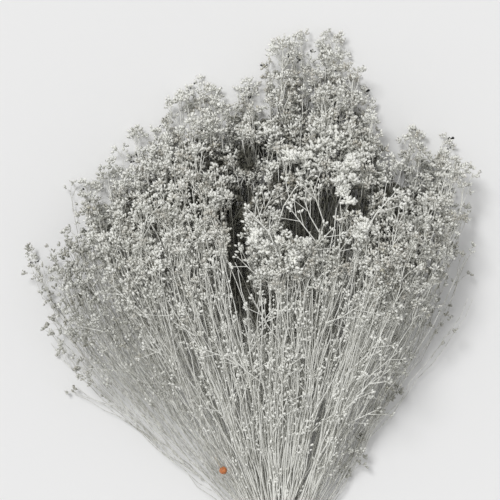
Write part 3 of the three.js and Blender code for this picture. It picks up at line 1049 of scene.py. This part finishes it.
def addBand():
    curve = newStalks(2)
    curve.use_fill_caps = False
    rng = random.Random(band["seed"])
    half = band["halfLength"] - band["radius"]
    steps = band["turns"] * band["stepsInTurn"]
    backFrom = 1 - band["crossing"]
    spline = curve.splines.new("POLY")
    spline.points.add(steps - 1)
    spline.use_cyclic_u = True
    for i, target in enumerate(spline.points):
        share = i / steps
        angle = math.radians(band["startAngle"]) + share * band["turns"] * 2 * math.pi
        back = float(ease((share - backFrom) / band["crossing"]))
        y = mixed(mixed(-half, half, min(1, share / backFrom)), -half, back)
        lift = band["crossLift"] * math.sin(math.pi * back)
        y += rng.uniform(-band["uneven"], band["uneven"]) * mm
        target.co = (*bandPoint(angle, band["radius"] + lift, y), 1)
        target.radius = band["radius"]
    bm = bmesh.new()
    addTubes(bm, curve)
    material, tree, shader = newMaterial("agedRubber", band["roughness"])
    wear = stretch(tree, noiseOn(tree, band["wearScale"], 4.0), *band["wear"])
    addColour(tree, shader, wear, band["colour"], band["worn"])
    addBump(tree, shader, noiseOn(tree, 1.0, 3.0, band["bumpPattern"]), band["bump"], band["bumpDepth"])
    newPiece(meshFrom(bm, "elastic_band_wound", [material]), "elastic_band")


addBand()
print("elastic band wound")

# Seed ball: a dimpled orange ball with a dry crown, on a short pale stalk, beside the highest left stem
ball = {
    "radius": 3.2 * mm, "reach": 92 * mm, "lift": 4.75 * mm, "stalk": 10 * mm, "stalkRadius": 0.42 * mm,
    "taper": (1.2, 0.8), "dimples": 0.05, "dimpleSizes": (2.2, 5), "flatten": 0.92,
    "orange": (0.60, 0.20, 0.06, 1), "brown": (0.28, 0.085, 0.03, 1), "pale": (0.62, 0.55, 0.42, 1),
    "spotScale": 900, "spots": (0.42, 0.68), "roughness": 0.45, "bump": 0.5, "bumpScale": 1600,
    "bumpDepth": 0.3 * mm, "streakScale": 1500, "streaks": (0.35, 0.65), "stalkRoughness": 0.8,
}
# The crown, opposite the stalk, is a flared cup in shares of its radius
crown = {"radius": 0.9 * mm, "sides": 7, "foot": 0.6, "height": 1.2, "rim": 0.35, "hollow": 0.5}


def addDimpledBall(bm):
    bmesh.ops.create_icosphere(bm, subdivisions=4, radius=ball["radius"])
    large, small = ball["dimpleSizes"]
    for vert in bm.verts:
        spot = vert.co / ball["radius"]
        ripple = noise.noise(spot * large) + 0.5 * noise.noise(spot * small)
        vert.co *= 1 + ball["dimples"] * ripple
        vert.co.y *= ball["flatten"]


def addCrown(bm):
    radius = crown["radius"]
    end = Matrix.Translation((0, -ball["radius"] * ball["flatten"], 0))
    made = bmesh.ops.create_cone(
        bm, cap_ends=True, segments=crown["sides"], radius1=radius * crown["foot"], radius2=radius,
        depth=radius * crown["height"], matrix=end @ Matrix.Rotation(math.radians(90), 4, "X"),
    )
    tip = [face for face in {f for v in made["verts"] for f in v.link_faces} if face.normal.y < -0.7]
    bmesh.ops.inset_region(bm, faces=tip, thickness=radius * crown["rim"], depth=-radius * crown["hollow"])


def addBallStalk(bm, centre, along, across, over):
    stalk = newStalks(2)
    sunk = ball["radius"] * 0.5
    first = centre + along * sunk
    points = [first.lerp(first + along * (ball["stalk"] + sunk), i / 4) for i in range(5)]
    points[1] += over * 0.3 * mm  # it is a little crooked
    points[3] += across * 0.4 * mm - over * 0.2 * mm
    foot, end = ball["taper"]
    addStalk(stalk, points, ball["stalkRadius"] * foot, ball["stalkRadius"] * end)
    before = len(bm.faces)
    addTubes(bm, stalk)
    bm.faces.ensure_lookup_table()
    for face in bm.faces[before:]:
        face.material_index = 1


def ballMaterials():
    skin, tree, shader = newMaterial("orangeSeedSkin", ball["roughness"])
    spots = stretch(tree, noiseOn(tree, ball["spotScale"], 3.0), *ball["spots"])
    addColour(tree, shader, spots, ball["orange"], ball["brown"])
    addBump(tree, shader, noiseOn(tree, ball["bumpScale"], 2.0), ball["bump"], ball["bumpDepth"])
    pale, tree, shader = newMaterial("paleStalk", ball["stalkRoughness"])
    streaks = stretch(tree, noiseOn(tree, ball["streakScale"], 3.0), *ball["streaks"])
    addColour(tree, shader, streaks, ball["pale"], stemLook["dark"])
    return [skin, pale]


def addSeedBall():
    side, layer = 1 / fan["stemsInRow"][-1] - 1, 1 - 0.5 / rows
    along, across, over = axisFrame(lambda at: place(side, layer, at), ball["reach"])
    centre = place(side, layer, ball["reach"]) + over * ball["lift"]
    bm = bmesh.new()
    addDimpledBall(bm)
    addCrown(bm)
    turn = along.to_track_quat("Y", "Z").to_matrix()
    bmesh.ops.transform(bm, matrix=Matrix.Translation(centre) @ turn.to_4x4(), verts=bm.verts)
    for face in bm.faces:
        face.smooth = True
    addBallStalk(bm, centre, along, across, over)
    newPiece(meshFrom(bm, "seed_ball_skin", ballMaterials()), "seed_ball")


addSeedBall()
print("seed ball added")

# Floor: plain and pale
floorLook = {"colour": (0.84, 0.84, 0.84, 1), "size": 24, "roughness": 0.9}


def addFloor():
    material, _, shader = newMaterial("paleFloor", floorLook["roughness"])
    shader.inputs["Base Color"].default_value = floorLook["colour"]
    bm = bmesh.new()
    bmesh.ops.create_grid(bm, x_segments=1, y_segments=1, size=floorLook["size"] / 2)
    floor = bpy.data.objects.new("floor", meshFrom(bm, "floor", [material]))
    scene.collection.objects.link(floor)


addFloor()
print("floor laid")
